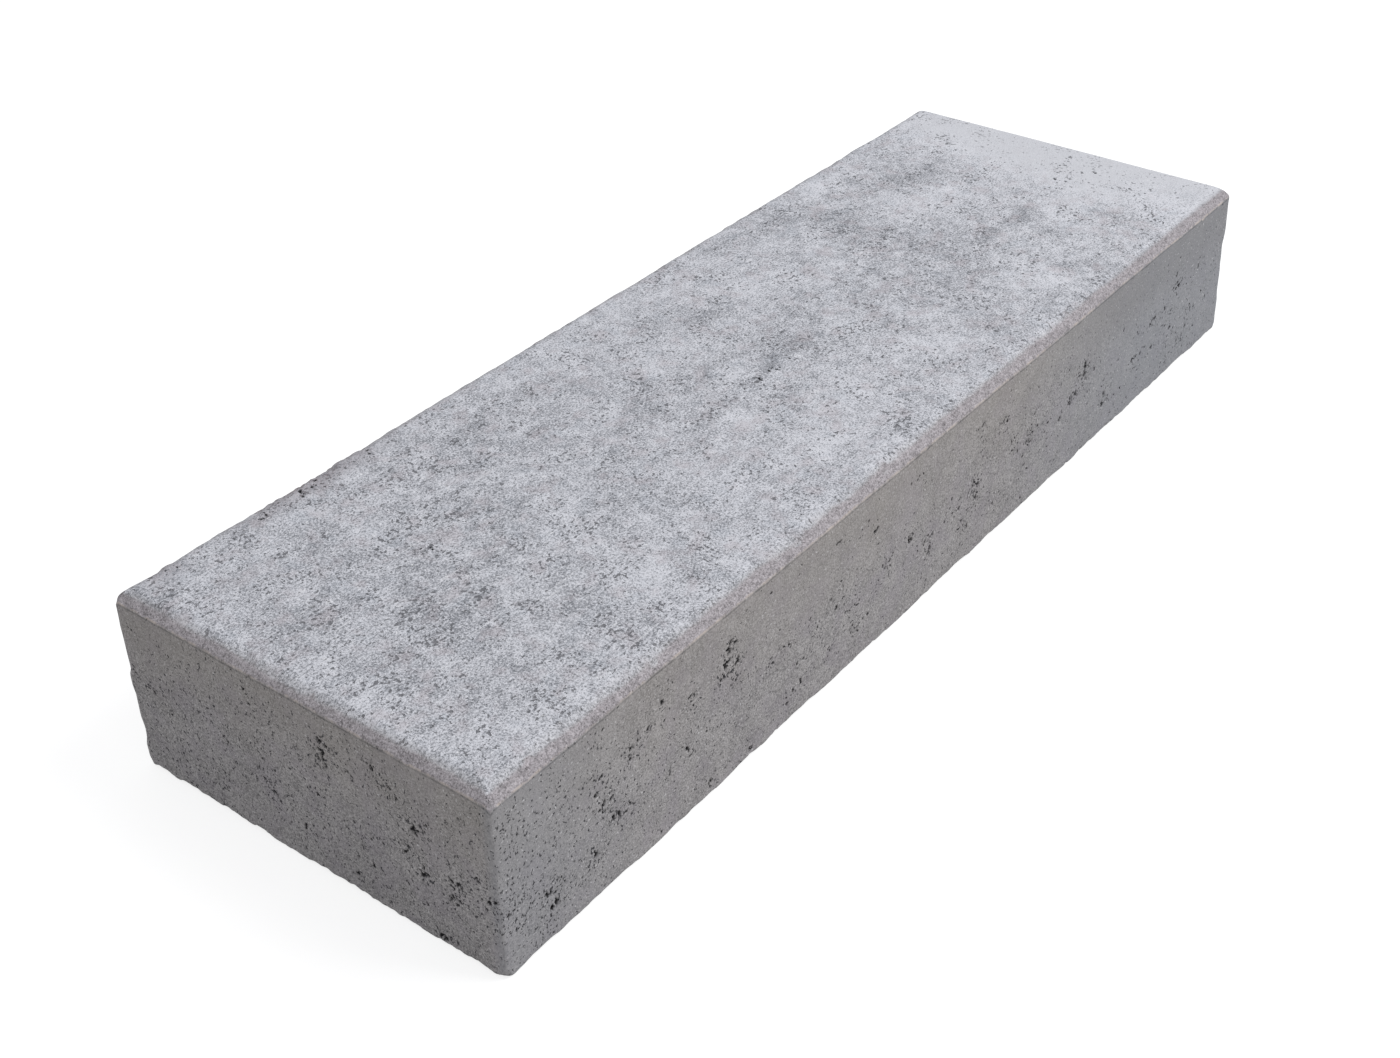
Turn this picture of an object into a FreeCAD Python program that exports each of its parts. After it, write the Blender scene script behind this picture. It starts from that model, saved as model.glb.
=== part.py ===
"""Concrete block step: one cast block with a level tread, bevelled tread edges and square sides.

Units are millimetres. X runs along the step, -Y faces whoever walks up to it, +Z is up.
The origin is on the ground, under the middle of the block.
"""
import FreeCAD, Part

import os

import Sketcher

# Driving dimensions: alias, size in millimetres, what it measures.
DIMENSIONS = [
    ("step_length", 1000, "left end to right end"),
    ("step_depth", 330, "front face to back face"),
    ("step_height", 150, "bed face to tread, the rise"),
    ("tread_bevel", 10, "setback of the 45 degree bevel, both on the tread and down the sides"),
    ("arris_radius", 3, "rounding of the four upright corners"),
    ("bed_radius", 5, "rounding of the four lower edges, which a mould never fills sharp"),
]
SHEET = "dimensions"
NEAR = 1e-6


def make_sheet(doc):
    """Put the driving dimensions into a spreadsheet, each size under its own alias."""
    sheet = doc.addObject("Spreadsheet::Sheet", SHEET)
    for row, (alias, size, meaning) in enumerate(DIMENSIONS, start=1):
        sheet.set(f"A{row}", alias)
        sheet.set(f"B{row}", str(size))
        sheet.set(f"C{row}", meaning)
        sheet.setAlias(f"B{row}", alias)
    doc.recompute()


def origin_plane(body, role):
    """Return the body's own origin plane that has this role."""
    return next(plane for plane in body.Origin.OriginFeatures if plane.Role == role)


def draw_footprint(body):
    """Sketch the footprint on the ground: a rectangle centred on the origin."""
    sketch = body.newObject("Sketcher::SketchObject", "footprint")
    sketch.AttachmentSupport = [(origin_plane(body, "XY_Plane"), "")]
    sketch.MapMode = "FlatFace"

    corners = [FreeCAD.Vector(x, y, 0) for x, y in ((-1, -1), (1, -1), (1, 1), (-1, 1))]
    front, right, back, left = (
        sketch.addGeometry(Part.LineSegment(corners[side], corners[(side + 1) % 4]), False)
        for side in range(4)
    )
    start, end = 1, 2
    for side, following in ((front, right), (right, back), (back, left), (left, front)):
        sketch.addConstraint(Sketcher.Constraint("Coincident", side, end, following, start))
    for side, lie in ((front, "Horizontal"), (right, "Vertical"), (back, "Horizontal"), (left, "Vertical")):
        sketch.addConstraint(Sketcher.Constraint(lie, side))
    origin, centre = -1, 1
    sketch.addConstraint(Sketcher.Constraint("Symmetric", front, start, back, start, origin, centre))

    for name, kind, side in (("step_length", "DistanceX", front), ("step_depth", "DistanceY", right)):
        index = sketch.addConstraint(Sketcher.Constraint(kind, side, start, side, end, 2))
        sketch.setExpression(f"Constraints[{index}]", f"{SHEET}.{name}")
    return sketch


def level_edges(shape, height):
    """Name the edges that lie wholly at this height."""
    return [
        f"Edge{number}"
        for number, edge in enumerate(shape.Edges, start=1)
        if abs(edge.BoundBox.ZMin - height) < NEAR and abs(edge.BoundBox.ZMax - height) < NEAR
    ]


def upright_edges(shape):
    """Name the edges that stand straight up from the ground."""
    return [
        f"Edge{number}"
        for number, edge in enumerate(shape.Edges, start=1)
        if edge.BoundBox.ZMin < NEAR and edge.BoundBox.ZLength > NEAR
        and edge.BoundBox.XLength < NEAR and edge.BoundBox.YLength < NEAR
    ]


def dress_edges(body, kind, name, base, edges, bound, alias):
    """Add a Fillet or Chamfer on the base's named edges, with its size bound to a sheet alias."""
    feature = body.newObject(f"PartDesign::{kind}", name)
    feature.Base = (base, edges)
    feature.setExpression(bound, f"{SHEET}.{alias}")
    body.Document.recompute()
    return feature


def make_block(doc):
    """Cast block: footprint, padded to the rise, then bevelled, and its other arrises rounded."""
    body = doc.addObject("PartDesign::Body", "block_step")
    body.Label = "block_step"

    cast = body.newObject("PartDesign::Pad", "cast")
    cast.Profile = draw_footprint(body)
    cast.setExpression("Length", f"{SHEET}.step_height")
    doc.recompute()

    tread = level_edges(cast.Shape, cast.Shape.BoundBox.ZMax)
    bevel = dress_edges(body, "Chamfer", "tread_bevels", cast, tread, "Size", "tread_bevel")
    corners = dress_edges(
        body, "Fillet", "arrises", bevel, upright_edges(bevel.Shape), "Radius", "arris_radius")
    dress_edges(
        body, "Fillet", "bed_edges", corners, level_edges(corners.Shape, 0), "Radius", "bed_radius")
    return body


def check(doc, nodes):
    """Stop if any object failed to recompute, or if a node is not one sound solid."""
    for item in doc.Objects:
        failed = {"Invalid", "Error"} & set(item.State)
        if failed:
            raise RuntimeError(f"{item.Name} is {', '.join(sorted(failed))}")
    for node in nodes:
        shape = node.Shape
        if shape.isNull() or not shape.isValid() or len(shape.Solids) != 1:
            raise RuntimeError(f"{node.Label} is not one sound solid")


def write(nodes):
    """Write each node to a STEP file with its own name."""
    os.makedirs("parts", exist_ok=True)
    for node in nodes:
        node.Shape.exportStep(f"parts/{node.Label}.step")
        box = node.Shape.BoundBox
        print(f"{node.Label}: {box.XLength:.1f} x {box.YLength:.1f} x {box.ZLength:.1f} mm, "
              f"{node.Shape.Volume / 1e9:.5f} m3")


doc = FreeCAD.newDocument("concrete_block_step")
make_sheet(doc)
nodes = [make_block(doc)]
doc.recompute()
check(doc, nodes)
write(nodes)
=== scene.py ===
"""Looks of a cast concrete block step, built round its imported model.

The block is one piece. Its skin is a fine mesh worked out as whole numpy arrays: a box of coarse cells
that is halved where detail needs it, pulled onto the bevelled and worn block, and then pitted with the
air holes that concrete keeps where it set against the mould. Lengths are metres, and MM turns a size in
millimetres into metres.
"""
import logging
import math
from collections.abc import Callable
from dataclasses import dataclass
from enum import Enum
from functools import partial
from itertools import product

import bpy
import numpy as np
from mathutils import Matrix, Vector


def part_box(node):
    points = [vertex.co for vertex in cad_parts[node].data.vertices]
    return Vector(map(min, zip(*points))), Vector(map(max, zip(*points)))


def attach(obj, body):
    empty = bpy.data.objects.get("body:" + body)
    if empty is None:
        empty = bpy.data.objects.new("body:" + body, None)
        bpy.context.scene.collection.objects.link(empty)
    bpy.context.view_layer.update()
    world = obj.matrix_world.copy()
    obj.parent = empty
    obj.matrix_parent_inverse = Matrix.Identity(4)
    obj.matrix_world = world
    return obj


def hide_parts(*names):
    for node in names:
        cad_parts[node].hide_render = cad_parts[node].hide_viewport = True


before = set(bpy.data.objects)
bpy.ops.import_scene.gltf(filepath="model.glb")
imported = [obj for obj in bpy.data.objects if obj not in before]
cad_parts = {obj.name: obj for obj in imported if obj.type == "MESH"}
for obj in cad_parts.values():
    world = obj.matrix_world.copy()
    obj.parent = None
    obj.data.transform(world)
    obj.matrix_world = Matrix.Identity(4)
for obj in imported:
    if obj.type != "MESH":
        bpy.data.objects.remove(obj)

MM = 0.001
NODE = "block_step"

log = logging.getLogger("block_step")


# ---- numbers


def linear(hex_colour: str) -> tuple[float, float, float, float]:
    """Turn an sRGB hex colour into the linear colour that shaders take.

    Args:
        hex_colour: the colour, such as "b4b6bc".

    Returns:
        Red, green, blue and an alpha of 1.
    """
    shares = [int(hex_colour[at:at + 2], 16) / 255 for at in (0, 2, 4)]
    red, green, blue = (s / 12.92 if s <= 0.04045 else ((s + 0.055) / 1.055) ** 2.4 for s in shares)
    return red, green, blue, 1.0


def smooth_step(low: float, high: float, values: np.ndarray) -> np.ndarray:
    """Ease from 0 at low to 1 at high: three times the square less twice the cube of the share."""
    share = np.clip((values - low) / (high - low), 0, 1)
    return share * share * (3 - 2 * share)


def random_at(cells: np.ndarray, seed: int) -> np.ndarray:
    """Give each whole-numbered cell its own number from -1 to 1, always the same for a seed.

    The cell's three numbers are multiplied by large odd numbers and added, and the sum's bits are
    folded and multiplied twice more, which leaves no pattern between neighbours.

    Args:
        cells: whole numbers, one row of three per cell.
        seed: picks one field out of many.

    Returns:
        One number per cell.
    """
    odd = np.array([0x9E3779B97F4A7C15, 0xC2B2AE3D27D4EB4F, 0x165667B19E3779F9], np.uint64)
    mixed = (cells.astype(np.uint64) * odd).sum(axis=-1, dtype=np.uint64)
    mixed += np.uint64(seed * 0x27D4EB2F165667C5 % 2**64)
    for factor in (0xBF58476D1CE4E5B9, 0x94D049BB133111EB):
        mixed ^= mixed >> np.uint64(30)
        mixed *= np.uint64(factor)
    mixed ^= mixed >> np.uint64(31)
    return (mixed >> np.uint64(11)).astype(float) / 2**52 - 1


def noise(places: np.ndarray, wavelength: float, seed: int) -> np.ndarray:
    """Smooth noise from -1 to 1: random numbers on a cubic lattice, blended within each cell.

    The blend along each axis is 6t^5 - 15t^4 + 10t^3, where t is the share of the way across the cell.

    Args:
        places: points, one row of three per point.
        wavelength: the lattice's spacing.
        seed: picks one field out of many.

    Returns:
        One number per point.
    """
    scaled = places / wavelength
    cell = np.floor(scaled)
    part = scaled - cell
    blend = part**3 * (part * (6 * part - 15) + 10)
    cell = cell.astype(np.int64)
    total = np.zeros(len(places))
    for corner in product((0, 1), repeat=3):
        weight = np.where(corner, blend, 1 - blend).prod(axis=1)
        total += weight * random_at(cell + np.array(corner), seed)
    return total


def layered_noise(places: np.ndarray, wavelengths: tuple[float, ...], seed: int) -> np.ndarray:
    """Sum noise of several wavelengths, each half as strong as the one before, scaled back to 1."""
    strengths = [0.5**step for step in range(len(wavelengths))]
    layers = (s * noise(places, w, seed + step) for step, (w, s) in enumerate(zip(wavelengths, strengths)))
    return sum(layers) / sum(strengths)


def add_object(name: str, data: bpy.types.ID) -> bpy.types.Object:
    """Make an object of this mesh, lamp or camera and put it in the scene."""
    made = bpy.data.objects.new(name, data)
    bpy.context.scene.collection.objects.link(made)
    return made


# ---- the block's walls and air holes


class Wall(Enum):
    """The block's six walls: the way along and the way up each, as seen from outside."""

    FRONT = ((1, 0, 0), (0, 0, 1))
    BACK = ((-1, 0, 0), (0, 0, 1))
    LEFT_END = ((0, -1, 0), (0, 0, 1))
    RIGHT_END = ((0, 1, 0), (0, 0, 1))
    TREAD = ((1, 0, 0), (0, 1, 0))
    BED = ((1, 0, 0), (0, -1, 0))

    @property
    def axes(self) -> np.ndarray:
        """Rows: along, up and straight out of the wall."""
        along, up = (np.array(way, float) for way in self.value)
        return np.stack([along, up, np.cross(along, up)])


@dataclass(frozen=True)
class Holes:
    """A group of air holes that gathers round one place on a wall.

    Places and sizes are millimetres: along from the wall's left edge, up from its lower edge, as seen
    from outside. Each hole lands at random round the place, and radius is more than the largest has.
    """

    along: float
    up: float
    count: int = 1
    spread: tuple[float, float] = (0.0, 0.0)
    radius: float = 1.8


# Groups that stand out on the riser, from the near end to the far end.
RISER_HOLES = tuple(Holes(*row) for row in (
    (6, 50, 2, (1, 4), 2.1), (20, 62, 2, (1, 3), 1.7), (23, 41, 2, (3, 1), 1.7), (13, 36, 2, (3, 1), 1.4),
    (44, 36, 8, (4, 8), 2.2), (54, 41, 4, (5, 3), 1.2), (11, 123, 10, (8, 6), 1.0),
    (34, 20, 5, (7, 2), 1.1), (72, 30, 5, (9, 2), 1.1), (97, 73, 6, (5, 4), 2.2), (87, 86, 2, (3, 1), 2.0),
    (92, 97, 4, (6, 3), 1.4), (110, 53, 6, (6, 3), 2.1), (124, 54, 3, (4, 2), 1.4),
    (88, 38, 3, (3, 4), 2.1), (125, 97, 6, (4, 6), 1.4), (140, 102, 2, (3, 1), 1.8),
    (155, 113, 2, (2, 1), 2.2), (161, 119, 1, (1, 1), 1.7), (186, 95, 5, (5, 4), 1.5), (92, 7),
    (150, 9, 2, (2, 1)), (203, 12, 2, (1, 3), 1.6), (200, 53, 7, (26, 5), 1.5), (224, 108, 7, (6, 6), 2.3),
    (225, 95, 10, (8, 5), 2.1), (230, 80, 4, (3, 4), 1.9), (248, 7, 2, (2, 2), 2.2),
    (290, 69, 4, (4, 3), 1.6), (272, 68, 3, (3, 4), 1.3), (291, 19, 3, (2, 4), 2.0),
    (303, 28, 3, (5, 2), 1.8), (350, 122, 2, (2, 0), 1.8), (361, 51, 6, (15, 4), 1.6),
    (379, 31, 6, (8, 5), 1.6), (343, 29, 4, (2, 5), 1.4), (400, 105, 2, (2, 1), 2.0),
    (419, 68, 6, (6, 6), 1.6), (449, 71, 3, (3, 2), 2.3), (454, 119, 4, (7, 2), 1.4),
    (466, 54, 4, (5, 3), 1.6), (480, 41, 3, (3, 3), 1.9), (515, 57, 4, (5, 4), 1.8),
    (543, 61, 9, (3, 9), 2.1), (543, 117, 3, (5, 1), 1.8), (584, 104, 6, (4, 6), 1.6),
    (601, 74, 5, (4, 7), 1.3), (629, 68, 7, (4, 7), 2.0), (665, 57, 3, (13, 1), 1.8),
    (701, 67, 6, (4, 4), 2.4), (720, 81, 9, (2, 9), 2.5), (708, 86, 3, (3, 2), 1.8),
    (764, 36, 5, (5, 5), 2.2), (817, 51, 4, (4, 2), 1.9), (838, 42, 5, (12, 8), 1.8),
    (847, 76, 2, (3, 1), 1.9), (887, 90, 4, (9, 2), 1.8), (925, 53, 4, (7, 3), 1.9),
    (922, 28, 3, (6, 8), 1.8), (965, 48, 3, (6, 2), 1.7), (936, 96, 2, (2, 4), 1.6),
    (330, 52, 12, (50, 26), 1.5), (505, 46, 18, (44, 24), 1.6), (620, 50, 10, (44, 26), 1.5),
    (790, 62, 12, (50, 30), 1.6), (900, 62, 18, (44, 34), 1.7),
))

# Groups that stand out on the left end, from the back corner to the front corner.
END_HOLES = tuple(Holes(*row) for row in (
    (10, 84, 4, (2, 5), 1.9), (23, 77, 3, (3, 2), 1.6), (39, 65, 3, (3, 2), 1.5), (16, 125, 3, (3, 2), 1.3),
    (96, 72, 2, (2, 2), 1.4), (83, 30, 4, (5, 8), 1.2), (121, 127, 2, (3, 1), 1.3),
    (133, 54, 5, (4, 4), 1.2), (138, 44, 3, (2, 4), 1.4), (162, 34, 2, (1, 3), 1.6),
    (191, 117, 7, (4, 5), 2.0), (190, 105, 7, (4, 5), 2.0), (186, 95, 2, (1, 3), 1.5),
    (182, 70, 2, (2, 1), 1.5), (212, 104, 3, (2, 3), 1.7), (233, 122, 3, (3, 2), 1.6),
    (246, 110, 5, (7, 4), 1.7), (265, 87, 6, (3, 4), 2.0), (274, 97, 2, (2, 1), 1.7),
    (254, 69, 5, (5, 3), 1.7), (266, 57, 6, (3, 4), 2.0), (294, 54, 9, (5, 7), 2.0),
    (313, 77, 3, (1, 3), 1.7), (318, 64, 6, (6, 6), 1.6), (222, 34, 2, (2, 1), 1.5),
    (206, 14, 3, (2, 3), 1.6), (277, 8, 4, (3, 2), 1.8), (180, 54, 2, (2, 1), 1.2),
    (155, 10, 2, (8, 2), 1.3), (226, 63, 4, (9, 5), 1.3),
))

# Small holes in the tread: a torn line near the middle, the crumbled back edge, specks by the right end.
TREAD_HOLES = tuple(Holes(*row) for row in (
    (474, 145, 11, (20, 2), 1.3), (590, 104, 3, (4, 3), 1.5), (945, 146, 8, (24, 4), 1.5),
    (128, 313, 12, (17, 4), 1.3), (166, 309, 12, (17, 5), 1.3), (200, 309, 10, (15, 5), 1.2),
    (36, 314, 6, (9, 4), 1.2), (926, 122, 9, (18, 14), 1.5), (906, 190, 8, (14, 20), 1.5),
    (944, 62, 6, (12, 12), 1.5), (930, 238, 5, (12, 14), 1.4), (725, 300, 9, (12, 9), 1.1),
    (502, 56, 2, (3, 2), 1.0), (155, 196, 6, (9, 5), 0.9), (640, 83, 5, (11, 7), 1.0),
))


class Finder:
    """Finds the points near a place, from points sorted along the block."""

    def __init__(self, places: np.ndarray) -> None:
        """Sort the points, one row of three per point, by their place along the block."""
        self.order = np.argsort(places[:, 0])
        self.sorted = places[self.order]
        self.along = self.sorted[:, 0].copy()

    def near(self, centre: np.ndarray, reach: float) -> np.ndarray:
        """List the points in a box that reaches this far each way from a centre."""
        first, last = np.searchsorted(self.along, (centre[0] - reach, centre[0] + reach))
        inside = (np.abs(self.sorted[first:last] - centre) < reach).all(axis=1)
        return self.order[first:last][inside]


@dataclass
class Pits:
    """Every air hole on the block, as arrays with one row per hole."""

    centre: np.ndarray
    axes: np.ndarray  # along, up and out of the wall, turned about the way out
    radius: np.ndarray
    stretch: np.ndarray  # length over width
    depth: np.ndarray

    RAGGED = 1.5  # the farthest that a hole's ragged rim gets from its centre, in radii
    LOOSE = 1.45  # how much farther than its spread a group really reaches
    SHARE = (0.34, 0.82)  # a hole's radius, as a share of its group's
    TURN = 0.7  # how far holes turn from upright, in radians, as a standard deviation
    STRETCH = (1.0, 2.0)
    DEPTH = (0.9, 1.7)  # in radii

    @classmethod
    def sink(
        cls, wall: Wall, groups: tuple[Holes, ...], corner: np.ndarray, rng: np.random.Generator,
    ) -> "Pits":
        """Scatter the holes of these groups over a wall.

        Args:
            wall: the wall that they are in.
            groups: the groups, placed from the wall's lower left corner.
            corner: that corner.
            rng: the source of chance.

        Returns:
            The holes of this wall.
        """
        count = np.array([group.count for group in groups])
        total = int(count.sum())
        middle = np.repeat([(group.along, group.up) for group in groups], count, axis=0)
        spread = np.repeat([group.spread for group in groups], count, axis=0)
        angle = rng.uniform(0, 2 * math.pi, total)
        reach = np.sqrt(rng.uniform(0, 1, total))
        way = np.stack([np.cos(angle), np.sin(angle)], axis=1)
        flat = middle + cls.LOOSE * spread * way * reach[:, None]
        radius = np.repeat([group.radius for group in groups], count) * rng.uniform(*cls.SHARE, total)

        turn = rng.normal(0, cls.TURN, total)[:, None]
        along, up, out = wall.axes
        turned = np.stack([
            np.cos(turn) * along + np.sin(turn) * up,
            np.cos(turn) * up - np.sin(turn) * along,
            np.repeat(out[None], total, axis=0),
        ], axis=1)
        return cls(
            centre=corner + MM * (flat[:, :1] * along + flat[:, 1:] * up),
            axes=turned,
            radius=radius * MM,
            stretch=rng.uniform(*cls.STRETCH, total),
            depth=radius * rng.uniform(*cls.DEPTH, total) * MM,
        )

    @classmethod
    def join(cls, several: list["Pits"]) -> "Pits":
        """Put the holes of several walls into one set."""
        names = ("centre", "axes", "radius", "stretch", "depth")
        return cls(**{name: np.concatenate([getattr(pits, name) for pits in several]) for name in names})

    def rim(self, index: int) -> float:
        """How far one hole's rim gets from its centre."""
        return self.radius[index] * self.stretch[index] * self.RAGGED


# ---- the mesh that everything is cut from


class Lattice:
    """A closed box of triangles that can be halved wherever more detail is needed.

    Each triangle is half a square cell. Its first two corners span the long side, which is the one that
    is halved, and its third corner is the newest. Halving a long side also halves the triangle across
    it, so the mesh never tears.
    """

    def __init__(self, low: np.ndarray, high: np.ndarray, cell: float) -> None:
        """Lay square cells over the six walls of a box.

        Args:
            low: the box's lowest corner.
            high: its highest corner.
            cell: the cells' size, rounded so that whole cells fit.
        """
        places, triangles, walls = [], [], []
        start = 0
        for number, wall in enumerate(Wall):
            axes = wall.axes
            middle, reach = (low + high) / 2, np.abs(axes @ (high - low)) / 2
            steps = [max(1, round(2 * side / cell)) for side in reach[:2]]
            lines = (np.linspace(-side, side, n + 1) for side, n in zip(reach, steps))
            u, v = np.meshgrid(*lines, indexing="ij")
            grid = middle + u[..., None] * axes[0] + v[..., None] * axes[1] + reach[2] * axes[2]
            index = start + np.arange(grid[..., 0].size).reshape(u.shape)
            a, b, c, d = index[:-1, :-1], index[1:, :-1], index[1:, 1:], index[:-1, 1:]
            halves = np.concatenate([np.stack(half, -1).reshape(-1, 3) for half in ((c, a, b), (a, c, d))])
            places.append(grid.reshape(-1, 3))
            triangles.append(halves)
            walls.append(np.full(len(halves), number))
            start += len(places[-1])
        joined = np.concatenate(places)
        micrometres = np.round(joined / (MM * MM)).astype(np.int64)
        _, first, same = np.unique(micrometres, axis=0, return_index=True, return_inverse=True)
        self.places = joined[first]
        self.triangles = same.reshape(-1)[np.concatenate(triangles)]
        self.walls = np.concatenate(walls)

    def sides(self) -> np.ndarray:
        """Number each triangle's three sides, alike from both of its triangles: long side first."""
        ends = np.sort(self.triangles[:, [[0, 1], [1, 2], [2, 0]]], axis=2)
        return ends[..., 0] * len(self.places) + ends[..., 1]

    def centres(self) -> np.ndarray:
        """Middle of each triangle's long side."""
        return self.places[self.triangles[:, :2]].mean(axis=1)

    def spans(self) -> np.ndarray:
        """Length of each triangle's long side."""
        return np.linalg.norm(self.places[self.triangles[:, 0]] - self.places[self.triangles[:, 1]], axis=1)

    def halve(self, wanted: np.ndarray) -> None:
        """Halve these triangles, and the ones that must be halved with them.

        Args:
            wanted: one true or false per triangle.
        """
        sides = self.sides()
        cut = np.unique(sides[wanted, 0])
        while True:
            follow = np.isin(sides[:, 1:], cut).any(axis=1) & ~np.isin(sides[:, 0], cut)
            if not follow.any():
                break
            cut = np.union1d(cut, sides[follow, 0])
        numbering = len(self.places)
        ends = np.stack([cut // numbering, cut % numbering], axis=1)
        self.places = np.concatenate([self.places, self.places[ends].mean(axis=1)])
        while True:
            ends = np.sort(self.triangles[:, :2], axis=1)
            key = ends[:, 0] * numbering + ends[:, 1]
            old = (self.triangles[:, :2] < numbering).all(axis=1)
            at = np.searchsorted(cut, key).clip(0, len(cut) - 1)
            split = old & (cut[at] == key)
            if not split.any():
                return
            a, b, c = self.triangles[split].T
            middle = numbering + at[split]
            pair = [np.stack([c, a, middle], axis=1), np.stack([b, c, middle], axis=1)]
            self.triangles = np.concatenate([self.triangles[~split], *pair])
            self.walls = np.concatenate([self.walls[~split], self.walls[split], self.walls[split]])


# ---- the cast block


@dataclass
class CastBlock:
    """The block's skin: its walls, bevels, worn edges and air holes.

    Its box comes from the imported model. Wear only ever takes material away, so the skin stays inside.
    """

    low: np.ndarray
    high: np.ndarray
    bevel_low: tuple[float, float] = (9.5 * MM, 1.0)  # where it leaves the wall, and its rise over its run
    bevel_high: tuple[float, float] = (6.7 * MM, 0.54)  # the flatter facet that runs into the tread
    end_share: float = 0.86  # the left end's bevel against the others
    upright_setback: float = 1.6 * MM
    bed_setback: float = 2.0 * MM
    corner_setback: float = 11.0 * MM
    foot_corner_setback: float = 7.0 * MM
    worn_corner: float = 4.0 * MM  # how much more the left end's back corner has lost
    softness: float = 0.35 * MM  # how widely two walls blend where they meet
    lean: float = 14.0 * MM  # how far the right end's top stands back from its foot
    cell: float = 10.0 * MM
    edge_band: float = 13.0 * MM  # width of the finer mesh along each edge
    edge_span: float = 3.6 * MM  # its triangles' long side
    line_span: float = 1.8 * MM  # the same along the bevel's lower line and the bed's edges
    finest: float = 0.66 * MM  # the shortest long side, round small air holes
    fringe: float = 6.0 * MM  # how far past a hole's rim it still counts
    unseen: float = 1.5  # how much coarser the edges of the back and the right end may be
    seed: int = 7

    @property
    def middle(self) -> np.ndarray:
        """The box's middle."""
        return (self.high + self.low) / 2

    @property
    def half(self) -> np.ndarray:
        """Half of the box's size."""
        return (self.high - self.low) / 2

    def along_and_across(self, places: np.ndarray) -> tuple[np.ndarray, np.ndarray]:
        """Millimetres from the left end, and from the riser."""
        return (places[:, 0] - self.low[0]) / MM, (places[:, 1] - self.low[1]) / MM

    def planes(self) -> tuple[np.ndarray, np.ndarray, np.ndarray]:
        """List the flat cuts that bound the block.

        Returns:
            Each cut's outward direction, its distance from the origin, and its kind: 0 wall, 1 tread
            bevel's lower facet, 2 its upper facet, 3 upright corner, 4 lower edge, 5 tread or bed.
        """
        rows = [(wall.axes[2], 0.0, 5 if wall in (Wall.TREAD, Wall.BED) else 0) for wall in Wall]
        for x, y in ((1, 0), (-1, 0), (0, 1), (0, -1)):
            size = self.end_share if x < 0 else 1.0
            drop, slope = self.bevel_low
            rows.append((np.array([x, y, slope]), size * drop * slope, 1))
            drop, slope = self.bevel_high
            rows.append((np.array([x * slope, y * slope, 1.0]), size * drop, 2))
            rows.append((np.array([x, y, -1.0]), self.bed_setback, 4))
        for x, y in product((1, -1), repeat=2):
            rows.append((np.array([x, y, 0.0]), self.upright_setback, 3))
            rows.append((np.array([x, y, 0.9]), self.corner_setback + self.worn_corner * (x < 0 < y), 1))
            rows.append((np.array([x, y, -0.9]), self.foot_corner_setback, 4))
        ways = np.array([row[0] for row in rows])
        reach = np.abs(ways) @ self.half + ways @ self.middle - np.array([row[1] for row in rows])
        lengths = np.linalg.norm(ways, axis=1)
        return ways / lengths[:, None], reach / lengths, np.array([row[2] for row in rows])

    def wear(self, places: np.ndarray, kinds: np.ndarray) -> np.ndarray:
        """How far wear and poor filling set each cut back at each place, never less than nothing.

        Walls wave by a fraction of a millimetre over a hand's width. The bevels wander a little and are
        chipped here and there, their upper facet less so toward the right, and they crumble at the back.
        The upright corners are knocked back, most of all at the back, and along the lower edges the mix
        did not fill the mould. Each is a sum of a level and of noise, in millimetres.

        Args:
            places: points on the sharp box.
            kinds: the kind of each cut.

        Returns:
            One row per place, one column per cut.
        """
        seed = self.seed
        wall = 0.30 * (1 + noise(places, 160 * MM, seed)) + 0.10 * (1 + noise(places, 38 * MM, seed + 1))
        low_facet = 0.4 + 0.55 * layered_noise(places, (40 * MM, 12 * MM, 5 * MM), seed + 10)
        low_facet += 1.3 * smooth_step(0.55, 0.95, noise(places, 9 * MM, seed + 14))
        toward_right = smooth_step(self.low[0] + 0.1, self.high[0], places[:, 0])
        high_facet = 0.55 - 0.7 * toward_right
        high_facet += 0.8 * layered_noise(places, (60 * MM, 22 * MM, 7 * MM), seed + 60)
        high_facet += 1.1 * smooth_step(0.4, 0.9, noise(places, 12 * MM, seed + 64))
        at_back = smooth_step(self.high[1] - 0.025, self.high[1] - 0.010, places[:, 1])
        lumps = 1 + 1.6 * layered_noise(places, (9 * MM, 4 * MM), seed + 66)
        crumbs = (at_back * (0.4 + self.crumbled(places)) * lumps).clip(0)
        high_facet += 1.3 * crumbs
        low_facet += 0.9 * crumbs
        upright = 0.5 + 0.8 * layered_noise(places, (24 * MM, 9 * MM, 4 * MM), seed + 20)
        exposed = np.maximum(smooth_step(0.0, 0.1, places[:, 1]), smooth_step(0.2, 0.4, places[:, 0]))
        knocked = exposed * (0.9 + 2.4 * noise(places, 15 * MM, seed + 24)).clip(0)
        on_side = smooth_step(self.low[0], self.low[0] + 0.004, places[:, 0])
        lower = 1.0 + 2.0 * on_side * layered_noise(places, (26 * MM, 9 * MM, 4 * MM), seed + 30)
        lower += 2.4 * (1 - on_side) * layered_noise(places, (9 * MM, 5 * MM, 3.2 * MM), seed + 32)
        lower += (0.9 + 0.9 * on_side) * smooth_step(0.4, 0.8, noise(places, 6 * MM, seed + 34))
        flat = wall + 0.25 * (1 + layered_noise(places, (22 * MM, 9 * MM), seed + 70))
        taken = np.stack([wall, low_facet, high_facet, upright + knocked, lower, flat], axis=1).clip(0) * MM
        return taken[:, kinds]

    def crumbled(self, places: np.ndarray) -> np.ndarray:
        """How far the tread's back edge has crumbled at each place, from 0 to 1, near its left end."""
        along, _ = self.along_and_across(places)
        back = smooth_step(self.high[1] - 0.034, self.high[1] - 0.016, places[:, 1])
        top = smooth_step(self.high[2] - 0.02, self.high[2] - 0.01, places[:, 2])
        stretches = np.exp(-(((along - 168) / 58) ** 2)) + 0.7 * np.exp(-(((along - 34) / 16) ** 2))
        return back * top * stretches

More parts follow.
